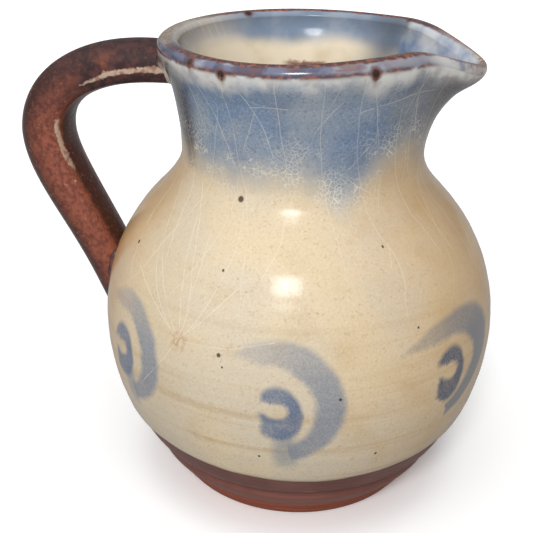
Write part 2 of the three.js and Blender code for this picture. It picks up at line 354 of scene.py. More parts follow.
def rise(value, low, high):
    """A smooth step from 0 at low to 1 at high, or the other way round where low is above high."""
    return value.node(
        "MapRange",
        {"interpolation_type": "SMOOTHSTEP"},
        {"Value": value, "From Min": low, "From Max": high},
    )


def spot(value, centre, width):
    """A soft band that is 1 at the centre."""
    off = (value - centre) / width
    return (off * off * -1.0).maths("EXPONENT")


def bump(height, strength, distance):
    """A fine relief, where a height of 1 stands out by the distance, in metres."""
    return height.node("Bump", {}, {"Strength": strength, "Distance": distance, "Height": height})


def paint(below, above, cover):
    """One colour laid over another, as far as it covers."""
    return cover.node("Mix", {"data_type": "RGBA"}, {0: cover, 6: below, 7: above}, 2)


def measure(surface, mark):
    """A measure that was kept at each point of the mesh."""
    return surface.node("Attribute", {"attribute_name": mark}, {}, "Fac")


clay, surface = start_finish("turned_red_clay")
place = surface.node("TexCoord", {}, {}, "Object")
axes = surface.node("SeparateXYZ", {}, {"Vector": place}, "X")
clay_up = axes.output("Z") / MM
clouds = noise(place, 60, 4.0)
grit = noise(place, 900, 3.0)
lathe_marks = noise(stretch(place, (25, 25, 900)), 1.0, 3.0)
bevel_red = rise(clay_up, BEVEL_HEIGHT + 0.3, BEVEL_HEIGHT - 0.5)
body_brown = paint(tone(108, 65, 57), tone(124, 79, 70), rise(clouds, 0.35, 0.65))
body_brown = paint(body_brown, tone(84, 54, 50), rise(lathe_marks, 0.55, 0.72) * 0.5)
foot_red = paint(tone(172, 92, 66), tone(136, 72, 54), rise(lathe_marks, 0.4, 0.68))
step_red = spot(clay_up, STEP_HEIGHT - 0.6, 2.4)
colour = paint(body_brown, tone(140, 92, 80), step_red * 0.7)
colour = paint(colour, foot_red, bevel_red)
colour = paint(colour, tone(150, 92, 70), rise(grit, 0.64, 0.74) * 0.3)
scuffed_edge = spot(clay_up, RIDGE_HEIGHT + 0.2, 0.4) + spot(clay_up, BEVEL_HEIGHT, 0.3) * 0.6
scuffs = noise(stretch(place, (160, 160, 900)), 1.0, 2.0)
colour = paint(colour, tone(196, 122, 84), scuffed_edge * rise(scuffs, 0.52, 0.66) * 0.8)
foot_roughness = 0.36 + 0.3 * bevel_red + 0.12 * grit
foot_bump = bump(lathe_marks + 0.5 * grit, 0.25, 0.0004)
fire(
    body, clay, surface,
    Base_Color=colour, Roughness=foot_roughness, Specular_IOR_Level=0.3, Normal=foot_bump,
)
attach(body, "root")
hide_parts("thrown_body")


# The handle: one strap of the same clay, pulled from a wet lump by hand, so that it is domed
# outside and flatter towards the fingers. It was bent over, stuck on at the neck and the belly,
# and brushed with an iron-red glaze that broke to cream along its edges in the fire.

UPPER_JOIN_DROP = 10.8
UPPER_JOIN_HEIGHT = RIM_HEIGHT - UPPER_JOIN_DROP
LOWER_JOIN_HEIGHT = 64.0
HANDLE_WIDTH = 19.0
HANDLE_TOP_THICKNESS = 12.3
HANDLE_DIP = 0.6
HANDLE_BEND_THICKNESS = 16.4
HANDLE_LOW_THICKNESS = 13.6
HANDLE_DOME_SHARE = 0.6
HANDLE_SQUARENESS = 2.4
FINGER_GAP = 41.3
HANDLE_BEND_DROP = 24.6
HANDLE_BEND_HEIGHT = UPPER_JOIN_HEIGHT - HANDLE_BEND_DROP
HANDLE_CREST_RUN = 29.5
HANDLE_BEND_RISE = 14.3
HANDLE_BEND_FALL = 11.5
HANDLE_FALL_ANGLE = math.radians(24)
HANDLE_FALL_RUN = 26.0
UPPER_ROOT_DEPTH = 3.0
LOWER_ROOT_DEPTH = 30.0
HANDLE_RINGS = 150
HANDLE_SIDES = 64
EDGE_RIDGE = 0.45
EDGE_RIDGE_PLACES = (-44.0, -136.0)
EDGE_RIDGE_SPREAD = 13.0
PULL_RIPPLE = 0.012
PULL_RIPPLE_LENGTH = 9.0
PULL_SWAY = 0.25
PULL_SWAY_LENGTH = 17.0
STREAK_LEAN = 84.0
STREAK_DRIFT = 0.55
STREAK_WIDTH = 7.5
LOW_STREAK_START = 53.0
LOW_STREAK_LEAN = 131.0
LOW_STREAK_DRIFT = 0.75
LOW_STREAK_WIDTH = 9.0


def clay_radius_at(height):
    return np.interp(height, clay_outside[:, 1], clay_outside[:, 0])


def even_steps(line, count):
    """The same line with its points at equal distances, and the distance at each point."""
    steps = np.linalg.norm(np.diff(line, axis=0), axis=1)
    distance = np.concatenate([[0], np.cumsum(steps)])
    wanted = np.linspace(0, distance[-1], count)
    evened = np.column_stack([np.interp(wanted, distance, line[:, k]) for k in range(2)])
    return evened, wanted


neck_reach = clay_radius_at(UPPER_JOIN_HEIGHT)
belly_reach = clay_radius_at(LOWER_JOIN_HEIGHT)
bend_reach = WAIST_RADIUS + FINGER_GAP + HANDLE_BEND_THICKNESS * (1 - HANDLE_DOME_SHARE)
fall = np.array([math.sin(HANDLE_FALL_ANGLE), math.cos(HANDLE_FALL_ANGLE)])
upper_run = bezier(
    200,
    (neck_reach, UPPER_JOIN_HEIGHT - HANDLE_DIP),
    (neck_reach + HANDLE_CREST_RUN, UPPER_JOIN_HEIGHT + HANDLE_DIP),
    (bend_reach, HANDLE_BEND_HEIGHT + HANDLE_BEND_RISE),
    (bend_reach, HANDLE_BEND_HEIGHT),
)
lower_end = np.array([belly_reach, LOWER_JOIN_HEIGHT])
lower_run = bezier(
    200,
    (bend_reach, HANDLE_BEND_HEIGHT),
    (bend_reach, HANDLE_BEND_HEIGHT - HANDLE_BEND_FALL),
    lower_end + HANDLE_FALL_RUN * fall,
    lower_end,
)
handle_line, handle_distance = even_steps(
    np.vstack(
        [
            (neck_reach - UPPER_ROOT_DEPTH, UPPER_JOIN_HEIGHT - HANDLE_DIP),
            upper_run,
            lower_run[1:],
            lower_end - LOWER_ROOT_DEPTH * fall,
        ]
    ),
    HANDLE_RINGS,
)
bend_distance = handle_distance[np.argmax(handle_line[:, 0])]
handle_thickness = np.interp(
    handle_distance,
    [0, bend_distance, handle_distance[-1]],
    [HANDLE_TOP_THICKNESS, HANDLE_BEND_THICKNESS, HANDLE_LOW_THICKNESS],
)
handle_out = -normals(handle_line)
side_angle = np.linspace(0, 2 * math.pi, HANDLE_SIDES, endpoint=False)
squared = 2 / HANDLE_SQUARENESS
across = HANDLE_WIDTH / 2 * np.sign(np.cos(side_angle)) * np.abs(np.cos(side_angle)) ** squared
domed = np.where(np.sin(side_angle) > 0, HANDLE_DOME_SHARE, 1 - HANDLE_DOME_SHARE)
domed = domed * np.sign(np.sin(side_angle)) * np.abs(np.sin(side_angle)) ** squared
side_degrees = np.degrees((side_angle + math.pi) % (2 * math.pi) - math.pi)
ridge = sum(swell(side_degrees, ridge_at, EDGE_RIDGE_SPREAD) for ridge_at in EDGE_RIDGE_PLACES)
ripple = PULL_RIPPLE * np.sin(handle_distance / PULL_RIPPLE_LENGTH)[:, None]
fuller = 1 + ripple + EDGE_RIDGE * ridge / HANDLE_WIDTH * 2
depth = handle_thickness[:, None] * domed[None, :] * fuller
sway = PULL_SWAY * np.sin(handle_distance / PULL_SWAY_LENGTH + 0.6)[:, None]
handle_reach = handle_line[:, :1] + handle_out[:, :1] * depth
handle_rings = np.stack(
    [-handle_reach, across[None, :] * fuller + sway, handle_line[:, 1:] + handle_out[:, 1:] * depth],
    axis=-1,
)
handle_ends = [handle_rings[0].mean(axis=0), handle_rings[-1].mean(axis=0)]

# Kept for the finish: mm along the strap from the neck, and degrees round from its outer side.
handle_marks = {
    "along": with_ends(handle_distance[:, None] + np.zeros(HANDLE_SIDES)),
    "lean": with_ends(np.zeros((HANDLE_RINGS, 1)) + np.abs((side_degrees + 90) % 360 - 180)),
}
handle = make_piece(
    "pulled_handle",
    np.vstack([handle_rings.reshape(-1, 3), handle_ends]),
    rings_to_faces(HANDLE_RINGS, HANDLE_SIDES),
    handle_marks,
)

iron, surface = start_finish("iron_red_glaze")
place = surface.node("TexCoord", {}, {}, "Object")
along = measure(surface, "along")
lean = measure(surface, "lean")
blotch = noise(place, 75, 5.0)
patch = noise(place, 150, 4.0)
mottle = noise(place, 330, 4.0)
grit = noise(place, 1100, 3.0)
brushed = noise(stretch(place, (120, 500, 120)), 1.0, 4.0)
fine_mottle = noise(stretch(place, (640, 1300, 640)), 1.0, 4.0)
colour = paint(tone(150, 86, 68), tone(118, 66, 54), rise(fine_mottle, 0.4, 0.62))
colour = paint(colour, tone(96, 54, 46), rise(patch, 0.5, 0.7) * 0.25)
colour = paint(colour, tone(166, 96, 70), rise(brushed, 0.52, 0.68) * 0.6)
thick_glaze = rise(along + (blotch - 0.5) * 26.0, 66.0, 26.0)
dark_glaze = paint(tone(52, 35, 39), tone(84, 54, 53), rise(mottle, 0.44, 0.62))
thin_glaze = rise(patch, 0.5, 0.66) * spot(lean, 66.0, 26.0)
dark_glaze = paint(dark_glaze, tone(146, 84, 64), thin_glaze * 0.75)
colour = paint(colour, dark_glaze, thick_glaze * 0.95)
low_run = rise(along + (blotch - 0.5) * 40.0, 88.0, 116.0) * rise(patch, 0.38, 0.64)
colour = paint(colour, tone(72, 46, 46), low_run * 0.45)
# Painted shade: the finger side, which faces the neck, is painted darker.
finger_side_shade = rise(lean + (mottle - 0.5) * 24.0, 140.0, 156.0)
colour = paint(colour, tone(62, 36, 30), finger_side_shade * 0.85)
# Painted shade: the outer side of the strap is painted darker, more so round the bend, where it turns
# away from the light.
outer_side_shade = rise(lean + (patch - 0.5) * 20.0, 96.0, 50.0)
colour = paint(colour, tone(44, 26, 24), outer_side_shade * (0.4 + 0.45 * rise(along, 24.0, 50.0)))
colour = paint(colour, tone(190, 122, 92), rise(grit, 0.58, 0.7) * (0.35 - 0.24 * thick_glaze))
upper_course = lean - along * STREAK_DRIFT + (patch - 0.5) * 26.0
streak_upper = spot(upper_course, STREAK_LEAN, STREAK_WIDTH) * rise(along, 40.0, 26.0)
lower_course = lean - (along - LOW_STREAK_START) * LOW_STREAK_DRIFT + (patch - 0.5) * 20.0
streak_lower = spot(lower_course, LOW_STREAK_LEAN, LOW_STREAK_WIDTH)
streak_lower = streak_lower * rise(along, 47.0, 55.0) * rise(along, 80.0, 70.0)
broken = rise(streak_upper + streak_lower + (grit - 0.5) * 0.9 + (fine_mottle - 0.5) * 0.9, 0.3, 0.85)
streak_cream = paint(tone(206, 180, 158), tone(170, 130, 112), rise(mottle, 0.5, 0.62))
colour = paint(colour, streak_cream, broken * 0.88)
wear = rise(noise(place, 210, 2.0), 0.68, 0.74) * rise(along, 60.0, 80.0)
colour = paint(colour, tone(196, 164, 144), wear * 0.7)
handle_roughness = 0.2 + 0.18 * mottle
handle_bump = bump(blotch + 0.6 * mottle + 0.25 * grit, 0.4, 0.0006)
fire(
    handle, iron, surface,
    Base_Color=colour, Roughness=handle_roughness, Specular_IOR_Level=0.28, Normal=handle_bump,
)
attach(handle, "root")
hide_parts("handle")


# The joins: wet slip squeezed out where the handle was pressed on to the scored wall, at the neck
# and at the belly. It was smoothed with a finger to a small fillet and glazed over with the rest.

GLAZE_FACE = 0.8
UPPER_FILLET = 2.6
LOWER_FILLET = 2.0
FILLET_STEPS = 8
FILLET_BEDDING = 0.08
SLIP_SINK = 0.5
SLOPE_STEP = 0.5
PALE_SLIP_LOW = 118.0
PALE_SLIP_TOP = 143.0


def glaze_radius_at(height):
    face = clay_outside + GLAZE_FACE * normals(clay_outside)
    return np.interp(height, face[:, 1], face[:, 0])


def slip_join(name, rings, fillet):
    """A fillet round the line where the handle's rings come out of the glazed wall."""
    reach = np.hypot(rings[..., 0], rings[..., 1]) - glaze_radius_at(rings[..., 2])
    leaves = np.argmax(reach > 0, axis=0)
    column = np.arange(rings.shape[1])
    before, after = reach[leaves - 1, column], reach[leaves, column]
    share = (-before / (after - before))[:, None]
    corner = rings[leaves - 1, column] * (1 - share) + rings[leaves, column] * share
    radius = np.hypot(corner[:, 0], corner[:, 1])
    slope = glaze_radius_at(corner[:, 2] + SLOPE_STEP) - glaze_radius_at(corner[:, 2] - SLOPE_STEP)
    wall_out = np.column_stack([corner[:, 0] / radius, corner[:, 1] / radius, -slope])
    wall_out /= np.linalg.norm(wall_out, axis=1)[:, None]
    round_it = np.roll(rings, -1, axis=1) - np.roll(rings, 1, axis=1)
    strap_out = np.cross(round_it[leaves, column], rings[leaves, column] - rings[leaves - 1, column])
    strap_out /= np.linalg.norm(strap_out, axis=1)[:, None]
    middle = corner.mean(axis=0)
    strap_out *= np.sign(np.sum(strap_out * (corner - middle), axis=1))[:, None]
    lean = np.sum(wall_out * strap_out, axis=1)[:, None]
    on_wall = strap_out - lean * wall_out
    on_wall /= np.linalg.norm(on_wall, axis=1)[:, None]
    on_strap = wall_out - lean * strap_out
    on_strap /= np.linalg.norm(on_strap, axis=1)[:, None]
    turn = np.linspace(0, 2 * math.pi, rings.shape[1], endpoint=False)
    size = fillet * (1 + 0.12 * np.sin(3 * turn) + 0.08 * np.sin(7 * turn + 1))[:, None]
    foot = corner + size * on_wall
    foot_radius = np.hypot(foot[:, 0], foot[:, 1])
    settle = (glaze_radius_at(foot[:, 2]) - FILLET_BEDDING - foot_radius) / foot_radius
    foot[:, :2] *= 1 + settle[:, None]
    top = corner + size * on_strap - FILLET_BEDDING * strap_out
    share = np.linspace(0, 1, FILLET_STEPS)[:, None, None]
    curve = (1 - share) ** 2 * foot + 2 * share * (1 - share) * corner + share**2 * top
    buried = corner - SLIP_SINK * (wall_out + strap_out)
    loops = np.concatenate([curve, buried[None]])
    around = len(loops)
    points = loops.transpose(1, 0, 2).reshape(-1, 3)
    ring = np.arange(rings.shape[1])[:, None] * around
    ring_next = np.roll(ring, -1, axis=0)
    step = np.arange(around)
    step_next = (step + 1) % around
    faces = np.stack([ring + step, ring + step_next, ring_next + step_next, ring_next + step], axis=-1)
    faces = faces.reshape(-1, 4)
    flat = points[faces]
    area = np.cross(flat[:, 2] - flat[:, 0], flat[:, 3] - flat[:, 1])
    if np.sum(area * flat.mean(axis=1)) < 0:
        faces = faces[:, ::-1]
    return make_piece(name, points, faces.tolist(), {})


upper_join = slip_join("upper_slip_fillet", handle_rings, UPPER_FILLET)
lower_join = slip_join("lower_slip_fillet", handle_rings[::-1], LOWER_FILLET)

slip, surface = start_finish("glazed_slip")
place = surface.node("TexCoord", {}, {}, "Object")
axes = surface.node("SeparateXYZ", {}, {"Vector": place}, "X")
slip_up = axes.output("Z") / MM
mottle = noise(place, 260, 4.0)
grit = noise(place, 1100, 2.0)
pale_slip = rise(slip_up + (mottle - 0.5) * 10.0, PALE_SLIP_TOP, PALE_SLIP_TOP - 6.0)
pale_slip = pale_slip * rise(slip_up, PALE_SLIP_LOW, PALE_SLIP_LOW + 6.0)
colour = paint(tone(104, 60, 50), tone(72, 46, 44), rise(mottle, 0.42, 0.62))
colour = paint(colour, tone(204, 190, 172), pale_slip * 0.9)
colour = paint(colour, tone(160, 110, 84), rise(grit, 0.6, 0.72) * 0.35)
slip_bump = bump(mottle + 0.4 * grit, 0.3, 0.0004)
fire(upper_join, slip, surface, Base_Color=colour, Roughness=0.28 + 0.15 * mottle, Normal=slip_bump)
lower_join.data.materials.append(slip)
for join, node in ((upper_join, "upper_slip_join"), (lower_join, "lower_slip_join")):
    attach(join, "root")
    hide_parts(node)


# The glaze coat: a cream glaze that the jug was dipped in upside down by hand, so that it stops at
# a wavering hem above the foot. Cobalt wash was brushed round the neck and in hooked crescents
# round the belly, iron broke through on the rim, and the coat crazed as it cooled.

GLAZE_LINE = 26.5
GLAZE_BACK = 0.3
GLAZE_TURNS = 260
HEM_TAPER = 3.5
POOL_REACH = 6
POOL_SWEEP = 2.4
POOL_TOP = 5
HEM_REACH = 14.0
MARK_STEP = 360 / 7
MARK_MIDDLE = -80.0
MARK_HEIGHT = 56.0
LEFT_MARK = -131.0
LEFT_MARK_SPREAD = 22.0
LIP_MARK = -28.6
# Each oval is its middle across and up, then half its width and half its height.
CRESCENT_OUTSIDE = (-5.4, 56.6, 20.3, 20.3)
CRESCENT_INSIDE = (-7.6, 55.8, 13.5, 13.5)
HOOK_OUTSIDE = (-4.8, 54.2, 7.2, 9.4)
HOOK_INSIDE = (-5.2, 55.4, 3.4, 2.6)
HOOK_LEFT = -10.2
HOOK_MOUTH_HEIGHT = 56.2
HOOK_MOUTH_HALF = 1.9
ARM_HEIGHT = 67.4
ARM_SLOPE = 0.23
ARM_FROM = -2.7
BELLY_DEGREE = math.radians(BELLY_RADIUS + GLAZE_BACK)
BAND_LOW = 115.3
BEAD_WIDTH = 4.7
COAT_LAP = 0.15
COAT_SWELL = 0.04


def hem_height(angle):
    """How far the hem of the coat wavers up and down round the jug."""
    wide = -np.cos(2 * (angle + math.radians(72))) - 0.8 * np.cos(3 * (angle + math.radians(80)))
    return wide + 0.14 * np.sin(11 * angle) + 0.09 * np.sin(23 * angle + 1)


def throwing_rings(height, angle):
    """The faint spiral that the fingers left on the wall."""
    spiral = angle / (2 * math.pi)
    fine = 0.02 * np.sin(2 * math.pi * (height / 4.3 + spiral))
    broad = 0.03 * np.sin(2 * math.pi * (height / 11.0 + spiral) + 0.7)
    return fine + broad


wall_line = np.vstack([belly_line(GLAZE_LINE, SHOULDER_HEIGHT, 74), neck_line(22)[1:]])
bead = bead_line(24)
inner_line = inside_line(clay_outside, 24)
neck_end, bead_from = wall_line[-POOL_REACH], bead[POOL_TOP]
neck_rise = neck_end - wall_line[-POOL_REACH - 1]
bead_rise = bead[POOL_TOP + 1] - bead_from
pool = bezier(
    9,
    neck_end,
    neck_end + POOL_SWEEP * neck_rise / np.linalg.norm(neck_rise),
    bead_from - POOL_SWEEP * bead_rise / np.linalg.norm(bead_rise),
    bead_from,
)
face_line = np.vstack([wall_line[:-POOL_REACH], pool, bead[POOL_TOP + 1 :], inner_line])
facing = normals(face_line)
step_length = np.linalg.norm(np.diff(face_line + GLAZE_FACE * facing, axis=0), axis=1)
travelled = np.concatenate([[0], np.cumsum(step_length)])
crest = int(np.argmax(face_line[:, 1]))
outer_rows = np.arange(len(face_line)) < crest
hem_fade = np.clip(1 - (face_line[:, 1] - GLAZE_LINE) / HEM_REACH, 0, 1) ** 2 * outer_rows
hem_taper = 1 - np.clip(1 - travelled / HEM_TAPER, 0, 1) ** 2
glaze_angle = wheel_angles(GLAZE_TURNS)[None, :]


def coat_rows(rows, depth):
    """Radius and height of the coat at a depth over the clay, for some rows of its line."""
    line, out = face_line[rows], facing[rows]
    shift = hem_fade[rows][:, None] * hem_height(glaze_angle)
    radius = line[:, :1] + out[:, :1] * depth
    height = line[:, 1:] + out[:, 1:] * depth + shift
    lean = -out[:, 1:] / np.maximum(out[:, :1], 0.3)
    radius = radius + lean * shift * (hem_fade[rows][:, None] > 0)
    return pull_lip(radius, height, glaze_angle)


row = np.arange(len(face_line))
ringed = throwing_rings(face_line[:, 1:], glaze_angle) * outer_rows[:, None] * hem_taper[:, None]
face_depth = GLAZE_FACE * hem_taper[:, None] + COAT_SWELL + ringed
back_rows = row[::-3]
face_radius, face_height = coat_rows(row, face_depth)
back_depth = GLAZE_BACK * hem_taper[back_rows][:, None] - COAT_LAP
back_radius, back_height = coat_rows(back_rows, back_depth)

# Kept for the finish, in mm: the height before the lip is pulled, and the way along the face from
# the crest, below 0 inside, and from the hem.
high = face_line[:, 1:] + np.zeros_like(glaze_angle)
rim_distance = (travelled[crest] - travelled)[:, None] + np.zeros_like(glaze_angle)
above_hem = travelled[:, None] + np.zeros_like(glaze_angle)
coat = turn_on_wheel(
    "glaze_skin",
    np.vstack([back_radius, face_radius]),
    np.vstack([back_height, face_height]),
    glaze_angle,
    {
        "high": np.vstack([high[back_rows], high]),
        "rim": np.vstack([rim_distance[back_rows], rim_distance]),
        "hem": np.vstack([above_hem[back_rows], above_hem]),
    },
)

glaze, surface = start_finish("crazed_cream_and_cobalt_glaze")
place = surface.node("TexCoord", {}, {}, "Object")
axes = surface.node("SeparateXYZ", {}, {"Vector": place}, "X")
turn = axes.output("Y").maths("ARCTAN2", axes) * (180 / math.pi)
from_lip = turn.maths("ABSOLUTE")
high = measure(surface, "high")
rim = measure(surface, "rim")
hem = measure(surface, "hem")
drift = noise(place, 26, 3.0)
cloud = noise(place, 75, 4.0)
lumps = noise(place, 190, 3.0)
grain = noise(place, 620, 3.0)
dust = noise(place, 1500, 2.0)


def length(across, up):
    """The straight distance over two offsets at right angles."""
    return (across * across + up * up).maths("SQRT")


def strongest(covers):
    """The largest of several covers at each place."""
    most, *others = covers
    for cover in others:
        most = most.maths("MAXIMUM", cover)
    return most


def crack_lines(vector, scale, width):
    """Thin lines between the cells of a crackle, width being a share of a cell."""
    cells = vector.node(
        "TexVoronoi", {"feature": "DISTANCE_TO_EDGE"}, {"Vector": vector, "Scale": scale}, "Distance"
    )
    return rise(cells, width, width * 0.3)


def from_line(course):
    """How far a place on a course is from the nearest of uneven lines, about one in each unit."""
    settings = {"feature": "DISTANCE_TO_EDGE", "voronoi_dimensions": "1D"}
    return course.node("TexVoronoi", settings, {"W": course, "Scale": 1.0}, "Distance")


def within(value, outer, inner):
    """Falls from 1 to 0 as a value, on either side of 0, goes from inner to outer."""
    return rise(value.maths("ABSOLUTE"), outer, inner)


def distance_to(angle, height):
    """How far each point of the wall is from one place on it, in mm."""
    return length((turn - angle) * degree_length, high - height)


degree_length = length(axes, axes.output("Y")) * (math.pi / 180 / MM)

# Cream ground: warm and cool clouds, tan throwing rings, fine iron dust.
colour = paint(tone(224, 205, 172), tone(216, 203, 180), rise(drift, 0.4, 0.6))
colour = paint(colour, tone(205, 182, 144), rise(cloud, 0.5, 0.75) * 0.5)
ring_noise = noise(stretch(place, (7, 7, 300)), 1.0, 4.0)
rings = rise(ring_noise, 0.5, 0.68) * rise(high, 96.0, 60.0)
colour = paint(colour, tone(184, 154, 112), rings * 0.4)
colour = paint(colour, tone(178, 148, 108), rise(grain, 0.58, 0.72) * 0.3)
colour = paint(colour, tone(196, 168, 128), rise(dust, 0.52, 0.68) * 0.24)
colour = paint(colour, tone(244, 232, 210), rise(dust, 0.46, 0.32) * 0.2)
colour = paint(colour, tone(128, 96, 66), rise(dust, 0.7, 0.78) * 0.5)

# Painted shade: the sides towards the lip and the handle, which turn away from the light, are painted
# warmer and darker.
painted_edge_shade = 1.25 * spot(turn, -2.0, 50.0) + 1.5 * rise(from_lip, 126.0, 162.0)
painted_edge_shade = painted_edge_shade * rise(rim, 0.0, 8.0) * (0.36 + 0.36 * cloud)
colour = paint(colour, tone(196, 156, 106), painted_edge_shade)
colour = paint(colour, tone(196, 178, 152), spot(turn, -124.0, 16.0) * 0.3)

# Brushed marks: a hook of dense cobalt inside a thinner crescent. The one by the handle is smaller
# and higher than the rest, and the one by the lip leans over, wider and flatter.
aside = (turn - MARK_MIDDLE).maths("WRAP", MARK_STEP / 2, -MARK_STEP / 2) * BELLY_DEGREE
on_left = spot(turn, LEFT_MARK, LEFT_MARK_SPREAD)
by_lip = within(turn - LIP_MARK, 30.0, 23.0)
mark_scale = 1 - 0.12 * on_left
mark_middle = MARK_HEIGHT + 3.2 * on_left
ragged = (lumps - 0.5) * 2.0 + (grain - 0.5) * 0.9
uneven = (noise(place, 150, 2.0) - 0.5) * 2.4 + (dust - 0.5) * 0.8
hook_aside = aside + ragged + 2.0 * on_left + 1.5 * by_lip
hook_above = high - mark_middle + MARK_HEIGHT + uneven - 4.2 * by_lip
wider = aside * -0.24 + (high - MARK_HEIGHT) * -0.13 + 1.8
flatter = aside * -0.14 + (high - MARK_HEIGHT) * 0.14 - 4.0
aside = aside / mark_scale + ragged + wider * by_lip
above = (high - mark_middle) / mark_scale + MARK_HEIGHT + uneven + flatter * by_lip


def oval(across, up, across_at, height_at, half_width, half_height):
    """How far inside an oval each place is, in mm."""
    across_off = (across - across_at) / half_width
    height_off = (up - height_at) / half_height
    return (1 - length(across_off, height_off)) * math.sqrt(half_width * half_height)


crescent = oval(aside, above, *CRESCENT_OUTSIDE)
crescent = crescent.maths("MINIMUM", oval(aside, above, *CRESCENT_INSIDE) * -1.0)
arm = above - ARM_HEIGHT + ARM_SLOPE * (aside - ARM_FROM) + 40.0 * rise(aside, -11.0, 4.5)
crescent = rise(crescent.maths("MINIMUM", arm), -1.1, 1.7)
mouth = (hook_above - HOOK_MOUTH_HEIGHT).maths("ABSOLUTE") - HOOK_MOUTH_HALF
mouth = mouth + 40.0 * rise(hook_aside, -7.5, -4.5)
hook = oval(hook_aside, hook_above, *HOOK_OUTSIDE)
hook = hook.maths("MINIMUM", oval(hook_aside, hook_above, *HOOK_INSIDE) * -1.0)
hook = hook.maths("MINIMUM", mouth).maths("MINIMUM", hook_aside - HOOK_LEFT)
hook = rise(hook, -0.9, 1.3)
tail = within(aside + 2.6 + (cloud - 0.5) * 5.0, 5.4, 1.2)
tail = tail * rise(above, 32.0, 38.0) * rise(above, 50.0, 46.0)
grains = 0.9 + 0.18 * rise(dust, 0.38, 0.62)
washed = (0.46 + 0.34 * rise(aside, -16.0, 4.0)) * (1 - 0.2 * rise(above, 62.0, 72.0))
washed = washed * grains * (1 + 0.3 * by_lip)
# Painted shade: near the lip the crescent's wash is painted browner and greyer, and laid on more
# thickly.
wash = paint(tone(128, 137, 152), tone(134, 126, 116), by_lip * 0.55)
colour = paint(colour, wash, crescent * washed * (0.84 + 0.3 * cloud))
colour = paint(colour, tone(130, 139, 150), tail * 0.62 * grains * (1 - by_lip))
# Painted shade: near the lip the hook is painted greyer and darker, with less of its dense blue.
hook_blue_with_lip_shade = paint(tone(92, 112, 142), tone(82, 86, 96), by_lip * 0.75)
colour = paint(colour, hook_blue_with_lip_shade, hook * (0.6 + 0.4 * lumps + 0.1 * by_lip) * grains)
colour = paint(colour, tone(76, 98, 134), hook * rise(hook_aside, -4.0, 1.0) * (0.26 - 0.2 * by_lip))

# Cobalt band round the neck, with an uneven lower edge that ran down in front.
ran_down = -8.5 * spot(turn, -63.0, 10.0) - 2.0 * spot(turn, -108.0, 12.0)
ran_down = ran_down + 5.0 * spot(turn, -28.0, 15.0)
band_low = BAND_LOW + ran_down + (drift - 0.5) * 12.0 + (lumps - 0.5) * 6.0
band = rise(high - band_low, -5.0, 7.0)
blue = paint(tone(118, 144, 173), tone(146, 160, 172), rise(cloud, 0.4, 0.64))
blue = paint(blue, tone(92, 119, 156), rise(drift, 0.46, 0.62) * 0.6)
streaky = noise(stretch(place, (130, 130, 22)), 1.0, 3.0)
blue = paint(blue, tone(86, 110, 144), rise(streaky, 0.5, 0.66) * 0.36)
blue = paint(blue, tone(104, 130, 168), spot(turn, -108.0, 16.0) * 0.4)
# Painted shade and reflection of the handle: a dark strip down the band beside it.
blue = paint(blue, tone(56, 58, 70), spot(turn, -143.0, 9.0) * 0.85)
# Painted shade: towards the lip the band is painted darker, then browner, where the neck turns away from
# the light.
blue = paint(blue, tone(84, 90, 104), spot(turn, -33.0, 13.0) * 0.45)
blue = paint(blue, tone(134, 120, 108), spot(turn, -12.0, 15.0) * 0.65)
blue = paint(blue, tone(168, 174, 180), rise(noise(place, 48, 3.0), 0.48, 0.66) * 0.3)
blue = paint(blue, tone(168, 174, 180), spot(turn, -78.0, 11.0) * 0.3)
blue = paint(blue, tone(176, 185, 194), rise(dust, 0.5, 0.66) * 0.35)
blue = paint(blue, tone(78, 96, 126), rise(noise(place, 1150, 2.0), 0.54, 0.68) * 0.45)
thin_edge = spot(high - band_low, 2.0, 6.0)
blue = paint(blue, tone(196, 188, 172), thin_edge * 0.5)
colour = paint(colour, blue, band * 0.95)

# Under the rim the glaze is pale where it ran off the edge. By the handle and under the lip it is
# painted dark as shade, by the handle also as the handle's reflection.
runs = noise(stretch(place, (110, 110, 40)), 1.0, 2.0)
pale_run = rise(rim + (runs - 0.5) * 10.0 + (lumps - 0.5) * 5.0, 12.4, 5.0)
pale_run = pale_run * rise(rim, BEAD_WIDTH - 0.6, BEAD_WIDTH + 0.4)
run_white = paint(tone(222, 220, 215), tone(196, 194, 190), rise(lumps, 0.44, 0.62))
colour = paint(colour, run_white, pale_run * 0.95)
# Painted shade and reflection of the handle, on the neck under the rim.
handle_shade = spot(turn, -144.0, 8.0) * band * rise(rim, BEAD_WIDTH, BEAD_WIDTH + 3.0)
colour = paint(colour, tone(52, 52, 60), handle_shade * 0.75)
# Painted shade under the lip.
shade_under_lip = spot(turn, -8.0, 15.0) * rise(rim, 6.0, 11.0) * rise(rim, 28.0, 16.0)
colour = paint(colour, tone(92, 92, 100), shade_under_lip * 0.55)

# Inside: thin cobalt at the top that fades to plain cream below, and pools in the lip, with one
# smear of iron on the far wall.
SMEAR_TURN, SMEAR_HEIGHT = 100.0, 132.5
inside = rise(rim, -0.6, -2.2)
inside_blue = paint(tone(146, 157, 172), tone(120, 136, 158), rise(cloud, 0.4, 0.62))
towards_handle = rise(from_lip + (cloud - 0.5) * 30.0, 128.0, 158.0)
pale_streaks = rise(from_line(turn / 4.5 + cloud * 0.5), 0.16, 0.03)
pale_streaks = pale_streaks * rise(rim, -16.0, -5.0) * rise(lumps, 0.36, 0.6)
inside_beige = paint(tone(196, 188, 178), tone(214, 208, 198), pale_streaks * 0.8)
inside_blue = paint(inside_blue, inside_beige, towards_handle * 0.9)
# Painted light: the cream inside is painted paler than the same cream outside.
paler_lit_inside_cream = paint(tone(234, 220, 195), tone(218, 202, 172), rise(cloud, 0.45, 0.7))
deep = rise(rim + (drift - 0.5) * 12.0, -8.5, -14.0)
inside_colour = paint(inside_blue, paler_lit_inside_cream, deep)
near_rim = rise(rim + (drift - 0.5) * 16.0, -32.0, -20.0)
